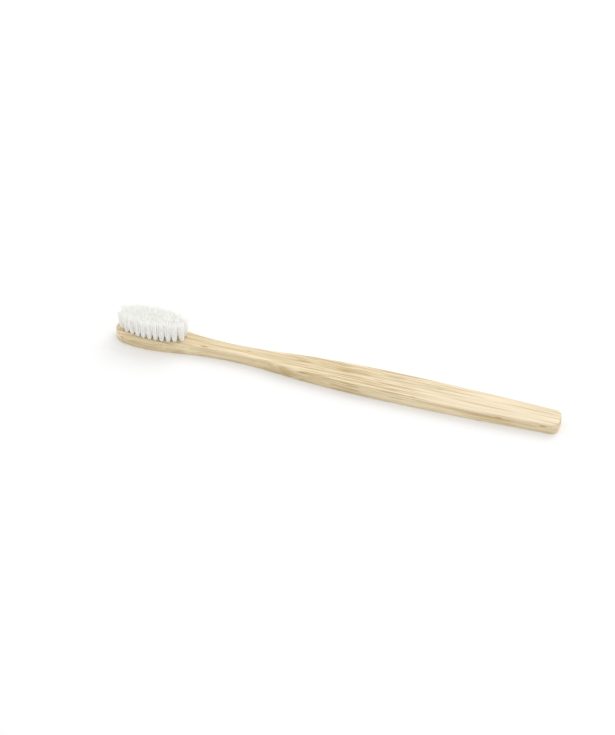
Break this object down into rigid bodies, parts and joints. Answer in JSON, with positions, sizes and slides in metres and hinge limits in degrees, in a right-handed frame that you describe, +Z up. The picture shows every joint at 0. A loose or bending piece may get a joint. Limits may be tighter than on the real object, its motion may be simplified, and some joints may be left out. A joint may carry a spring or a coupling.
{
  "type": "manual toothbrush",
  "caption": "Flat bamboo toothbrush with a rounded head, slim neck and swelling grip, and an oval field of white nylon tufts anchored in blind holes, for brushing teeth by hand.",
  "frame": {"origin": "on the flat back, under the middle of the brush's length and width", "axes": "+X from the head's tip to the grip's end, +Y across the brush, +Z up out of the bristle side"},
  "size_m": [0.19, 0.0136, 0.0141],
  "materials": {
    "bamboo": "sanded bamboo, fine grain along the stick, no lacquer",
    "nylon_bristle": "white nylon filaments, end-rounded",
    "brass_anchor": "flat drawn wire, sheared to length"
  },
  "bodies": {
    "root": {"handle": "bamboo", "tuft_01_1": "nylon_bristle", "tuft_01_2": "nylon_bristle", "tuft_02_1": "nylon_bristle", "tuft_02_2": "nylon_bristle", "tuft_02_3": "nylon_bristle", "tuft_03_1": "nylon_bristle", "tuft_03_2": "nylon_bristle", "tuft_03_3": "nylon_bristle", "tuft_03_4": "nylon_bristle", "tuft_04_1": "nylon_bristle", "tuft_04_2": "nylon_bristle", "tuft_04_3": "nylon_bristle", "tuft_04_4": "nylon_bristle", "tuft_05_1": "nylon_bristle", "tuft_05_2": "nylon_bristle", "tuft_05_3": "nylon_bristle", "tuft_05_4": "nylon_bristle", "tuft_06_1": "nylon_bristle", "tuft_06_2": "nylon_bristle", "tuft_06_3": "nylon_bristle", "tuft_06_4": "nylon_bristle", "tuft_07_1": "nylon_bristle", "tuft_07_2": "nylon_bristle", "tuft_07_3": "nylon_bristle", "tuft_07_4": "nylon_bristle", "tuft_08_1": "nylon_bristle", "tuft_08_2": "nylon_bristle", "tuft_08_3": "nylon_bristle", "tuft_08_4": "nylon_bristle", "tuft_09_1": "nylon_bristle", "tuft_09_2": "nylon_bristle", "tuft_09_3": "nylon_bristle", "tuft_09_4": "nylon_bristle", "tuft_10_1": "nylon_bristle", "tuft_10_2": "nylon_bristle", "tuft_10_3": "nylon_bristle", "tuft_11_1": "nylon_bristle", "tuft_11_2": "nylon_bristle", "anchors_column_01": "brass_anchor", "anchors_column_02": "brass_anchor", "anchors_column_03": "brass_anchor", "anchors_column_04": "brass_anchor", "anchors_column_05": "brass_anchor", "anchors_column_06": "brass_anchor", "anchors_column_07": "brass_anchor", "anchors_column_08": "brass_anchor", "anchors_column_09": "brass_anchor", "anchors_column_10": "brass_anchor", "anchors_column_11": "brass_anchor"}
  },
  "joints": []
}
